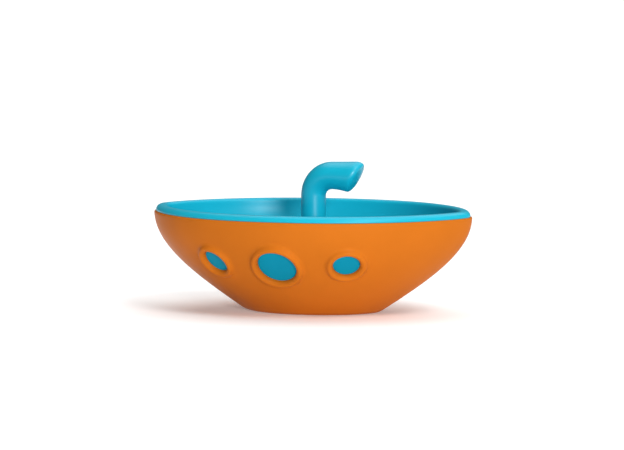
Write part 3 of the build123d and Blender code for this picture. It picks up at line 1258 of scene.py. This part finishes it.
@dataclass
class Studio:
    """Pale floor, soft lights and the camera."""

    target: Vector = field(default_factory=lambda: Vector((0.07 * MM, 0, 38.6 * MM)))
    azimuth: float = math.radians(20.0)
    elevation: float = math.radians(5.0)
    distance: float = 2.0
    lens: float = 257.0
    sensor: float = 36.0
    floor_reach: float = 14.0
    floor_drop: float = 0.05 * MM

    def camera(self) -> None:
        """Adds the camera and makes it the scene's."""
        data = bpy.data.cameras.new("studio_camera")
        data.lens = self.lens
        data.sensor_width = self.sensor
        data.clip_start, data.clip_end = 0.05, 60.0
        camera = add_object("studio_camera", data)
        back = direction(self.azimuth, self.elevation)
        camera.location = self.target + back * self.distance
        camera.rotation_mode = "QUATERNION"
        camera.rotation_quaternion = (-back).to_track_quat("-Z", "Y")
        bpy.context.scene.camera = camera

    def floor(self) -> None:
        """Adds the floor, a wide pale sheet just under the boat."""
        mesh = bmesh.new()
        bmesh.ops.create_grid(mesh, x_segments=8, y_segments=8, size=self.floor_reach)
        data = bpy.data.meshes.new("studio_floor")
        mesh.to_mesh(data)
        mesh.free()
        floor = add_object("studio_floor", data)
        floor.location.z = -self.floor_drop
        sheet = Sheet("pale_floor")
        tone = sheet.spread(sheet.noise(3.0), 0.0, 1.0)
        sheet.join(sheet.mix(tone, *FLOOR_TONES), sheet.shader.inputs["Base Color"])
        for socket, value in FLOOR_SHADER.items():
            sheet.shader.inputs[socket].default_value = value
        data.materials.append(sheet.material)

    def light(self, lamp: Lamp) -> None:
        """Adds one lamp."""
        data = bpy.data.lights.new(lamp.name, "SUN")
        data.energy = lamp.strength
        data.angle = math.radians(lamp.spread)
        light = add_object(lamp.name, data)
        back = direction(math.radians(lamp.azimuth), math.radians(lamp.elevation))
        light.rotation_mode = "QUATERNION"
        light.rotation_quaternion = back.to_track_quat("Z", "Y")

    def surroundings(self) -> None:
        """Adds the surrounding white."""
        world = bpy.data.worlds.new("studio_white")
        world.use_nodes = True
        background = world.node_tree.nodes["Background"]
        background.inputs["Color"].default_value = WHITE
        background.inputs["Strength"].default_value = SURROUNDING_LIGHT
        bpy.context.scene.world = world
        bpy.context.scene.view_settings.view_transform = "Standard"

    def build(self) -> None:
        """Builds the studio."""
        self.camera()
        self.floor()
        for lamp in LAMPS:
            self.light(lamp)
        self.surroundings()


# ------------------------------------------------------------------ the boat
@dataclass(frozen=True)
class WindowPlan:
    """Where a pair of windows, one each side, stands in the hull."""

    place: str
    along: float
    height: float
    radius: float


WINDOW_PLANS = (
    WindowPlan("aft", -30.8 * MM, 24.6 * MM, 6.0 * MM),
    WindowPlan("mid", 0.0, 23.4 * MM, 8.9 * MM),
    WindowPlan("fore", 30.8 * MM, 24.6 * MM, 6.0 * MM),
)


def hull_form() -> HullForm:
    """Returns the hull's form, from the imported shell's own size."""
    low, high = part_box("hull_shell")
    return HullForm((high.x - low.x) / 2, (high.y - low.y) / 2, high.z)


def portholes(form: HullForm) -> list[Porthole]:
    """Returns the six window places."""
    places = []
    for side in Side:
        for plan in WINDOW_PLANS:
            half_length, half_beam = form.halves(plan.height)
            across = (1 - abs(plan.along / half_length) ** form.length_power) ** (1 / form.beam_power)
            centre = Vector((plan.along, side.value * half_beam * across, plan.height))
            label = f"window_{plan.place}_{side.name.lower()}"
            places.append(Porthole(label, centre, form.normal(centre), plan.radius))
    return places


def settle(piece: bpy.types.Object, finish: Finish, body: str, node: str) -> None:
    """Dresses a piece, puts it on its body and lets it stand for its CAD node.

    Args:
        piece: The piece.
        finish: What it is made of.
        body: The CAD body that it moves with.
        node: The CAD node that it stands for.
    """
    dress(piece, finish)
    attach(piece, body)
    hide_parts(node)
    LOG.info("%s stands for %s on %s, %d faces", piece.name, node, body, len(piece.data.polygons))


def mast_axis() -> Vector:
    """Returns the foot of the periscope's axis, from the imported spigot."""
    low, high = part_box("periscope_spigot")
    return Vector(((low.x + high.x) / 2, (low.y + high.y) / 2, 0.0))


def main() -> None:
    """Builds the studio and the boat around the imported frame."""
    logging.basicConfig(level=logging.INFO, format="%(name)s: %(message)s")
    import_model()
    Studio().build()

    form = hull_form()
    mast = mast_axis()
    places = portholes(form)
    settle(HullShell(form, places).build(), ORANGE, "hull", "hull_shell")
    for place in places:
        settle(Window(place).build(), SHADED_WINDOW_TURQUOISE, "hull", place.label)
    settle(CabinLiner(form, mast).build(), TURQUOISE, "hull", "cabin_liner")

    tube = PeriscopeTube(mast)
    for side in Side:
        node = f"periscope_half_{side.name.lower()}"
        settle(tube.build(side), MAST_TURQUOISE, "periscope", node)
    swivel = Swivel(mast)
    settle(swivel.spigot(), MAST_TURQUOISE, "periscope", "periscope_spigot")
    settle(swivel.seal(), SEAL_RUBBER, "periscope", "spigot_seal")
    settle(swivel.washer(), FASTENER_STEEL, "periscope", "retaining_washer")
    settle(swivel.screw(), FASTENER_STEEL, "periscope", "retaining_screw")


if __name__ == "__main__":
    main()
